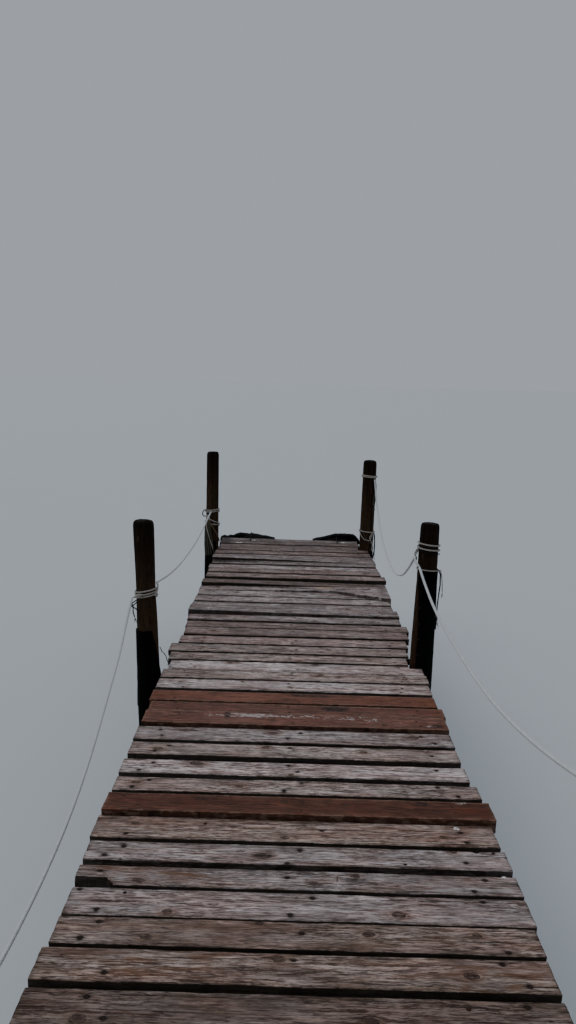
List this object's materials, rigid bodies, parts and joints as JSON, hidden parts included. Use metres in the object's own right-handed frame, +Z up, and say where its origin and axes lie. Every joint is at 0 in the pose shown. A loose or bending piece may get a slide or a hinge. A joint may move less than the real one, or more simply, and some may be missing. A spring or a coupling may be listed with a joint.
{
  "type": "wooden jetty",
  "caption": "Low wooden jetty of weathered cross boards on round posts in pairs, with sagging hand ropes lashed to the posts and old tyres hung as fenders at the lake end.",
  "frame": {"origin": "middle of the jetty in plan, at the level of the flat feet of the posts", "axes": "+X across the deck, to the right when facing the lake end; +Y along the deck, from the shore end to the lake end; +Z up"},
  "size_m": [1.6794, 9.4414, 1.7901],
  "materials": {
    "weathered_boards": "bare weathered softwood, silver grey with a lavender cast, open grain",
    "new_boards": "stained board, worn red-brown with pale paint traces",
    "frame_wood": "rough sawn timber, damp grey-brown",
    "post_wood": "dark wet log with worn brown edges and a green foot",
    "hand_rope": "laid rope, bleached and dirty",
    "lashing_rope": "old laid rope, dark with frayed ends",
    "fender_rubber": "old matt rubber, dusty",
    "sleeve_rubber": "black rubber sheet, wet and scuffed",
    "iron": "rusty nails and bolts"
  },
  "bodies": {
    "root": {"bearer_1": "frame_wood", "bearer_2": "frame_wood", "bearer_3": "frame_wood", "bearer_4": "frame_wood", "boards_lake": "weathered_boards", "boards_middle": "weathered_boards", "boards_shore": "weathered_boards", "broken_board": "weathered_boards", "fender_left": "fender_rubber", "fender_line_left": "lashing_rope", "fender_line_right": "lashing_rope", "fender_right": "fender_rubber", "lashing_left_1": "lashing_rope", "lashing_left_2": "lashing_rope", "lashing_left_3": "lashing_rope", "lashing_left_4": "lashing_rope", "lashing_right_1": "lashing_rope", "lashing_right_2": "lashing_rope", "lashing_right_3": "lashing_rope", "lashing_right_4": "lashing_rope", "new_boards": "new_boards", "post_left_1": "post_wood", "post_left_2": "post_wood", "post_left_3": "post_wood", "post_left_4": "post_wood", "post_right_1": "post_wood", "post_right_2": "post_wood", "post_right_3": "post_wood", "post_right_4": "post_wood", "ripped_board": "weathered_boards", "rope_left_1": "hand_rope", "rope_left_2": "hand_rope", "rope_left_3": "hand_rope", "rope_right_1": "hand_rope", "rope_right_2": "hand_rope", "rope_right_3": "hand_rope", "sleeves_left": "sleeve_rubber", "sleeves_right": "sleeve_rubber", "stringer_left": "frame_wood", "stringer_middle": "frame_wood", "stringer_right": "frame_wood", "thick_boards": "weathered_boards"}
  },
  "joints": []
}
